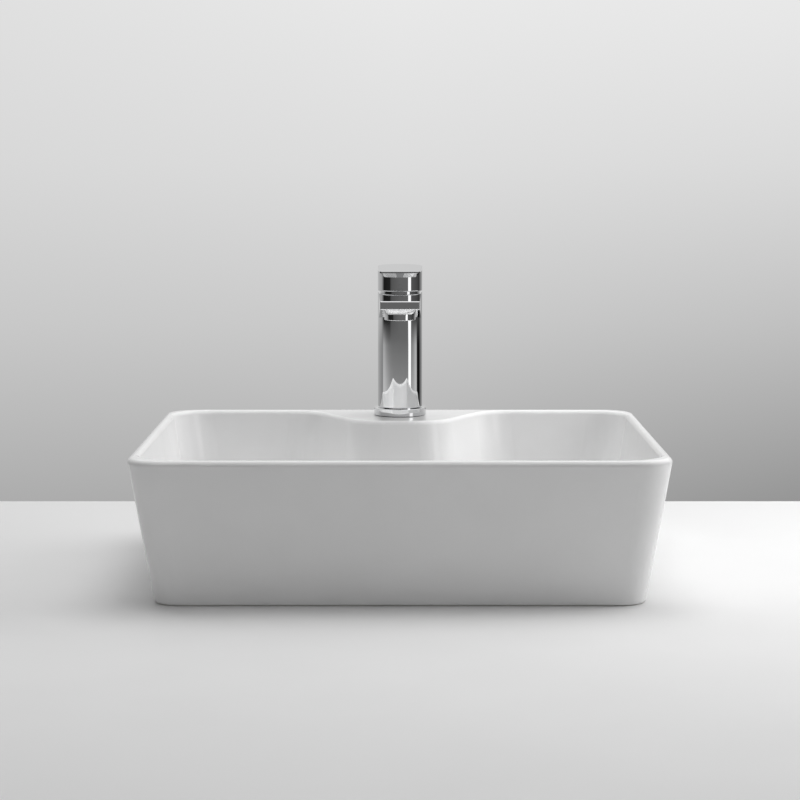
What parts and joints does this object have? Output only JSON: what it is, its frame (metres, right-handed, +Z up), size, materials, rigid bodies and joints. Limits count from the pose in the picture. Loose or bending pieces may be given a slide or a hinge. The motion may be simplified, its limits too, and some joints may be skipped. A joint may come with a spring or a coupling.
{
  "type": "countertop basin with mixer tap",
  "caption": "Rectangular countertop basin with tapered walls, a bell-shaped tap ledge, a single-lever chrome mixer that lifts and swivels, and a push-open waste",
  "frame": {"origin": "under the middle of the basin's footprint, on the counter plane", "axes": "+Z up, -Y to the front where the user stands, +X to the user's right"},
  "size_m": [0.4784, 0.3684, 0.2839],
  "materials": {
    "glazed_white": "gloss white glaze",
    "chrome": "polished chrome plate",
    "black_rubber": "matt moulded rubber",
    "foam_white": "closed-cell foam washer",
    "steel": "zinc-plated steel",
    "brass": "turned brass",
    "cartridge_plastic": "moulded",
    "aerator_plastic": "moulded",
    "disc_ceramic": "lapped alumina"
  },
  "bodies": {
    "basin": {"basin_body": "glazed_white", "base_ring": "chrome", "tap_body": "chrome", "aerator_housing": "chrome", "shroud_ring": "chrome", "waste_body": "chrome", "base_gasket": "black_rubber", "fixing_rubber_washer": "black_rubber", "aerator_washer": "black_rubber", "inlet_seals": "black_rubber", "cartridge_oring": "black_rubber", "waste_bottom_gasket": "black_rubber", "waste_top_gasket": "foam_white", "fixing_steel_washer": "steel", "fixing_stud": "steel", "click_spring": "steel", "fixing_nut": "brass", "cartridge_nut": "brass", "waste_backnut": "brass", "cartridge_housing": "cartridge_plastic", "waste_slip_washer": "cartridge_plastic", "click_sleeve": "cartridge_plastic", "aerator_insert": "aerator_plastic", "fixed_disc": "disc_ceramic"},
    "mixer_rotor": {"cartridge_rotor": "cartridge_plastic", "stem_pin": "steel"},
    "lever_handle": {"handle": "chrome", "cartridge_stem": "brass", "handle_grub_screw": "steel", "index_plug": "chrome"},
    "mixing_disc": {"moving_disc": "disc_ceramic", "disc_holder": "cartridge_plastic"},
    "waste_plug": {"plug_cap": "chrome", "plug_seal": "black_rubber", "plug_stem": "brass"}
  },
  "joints": [
    {"name": "lever_swivel", "type": "hinge", "parent": "basin", "child": "mixer_rotor", "pos_m": [0, 0.143, 0.2431], "axis": [0, 0, 1], "range_deg": [-45, 45]},
    {"name": "lever_lift", "type": "hinge", "parent": "mixer_rotor", "child": "lever_handle", "pos_m": [0, 0.143, 0.2431], "axis": [-1, 0, 0], "range_deg": [0, 22]},
    {"name": "disc_slide", "type": "slide", "parent": "mixer_rotor", "child": "mixing_disc", "axis": [0, -1, 0], "range_m": [0, 0.0054]},
    {"name": "plug_lift", "type": "slide", "parent": "basin", "child": "waste_plug", "axis": [0, 0, 1], "range_m": [0, 0.009], "deforming": ["click_spring"]}
  ],
  "couplings": [
    {"joint": "disc_slide", "follows": "lever_lift", "m_per_rad": 0.0135}
  ]
}
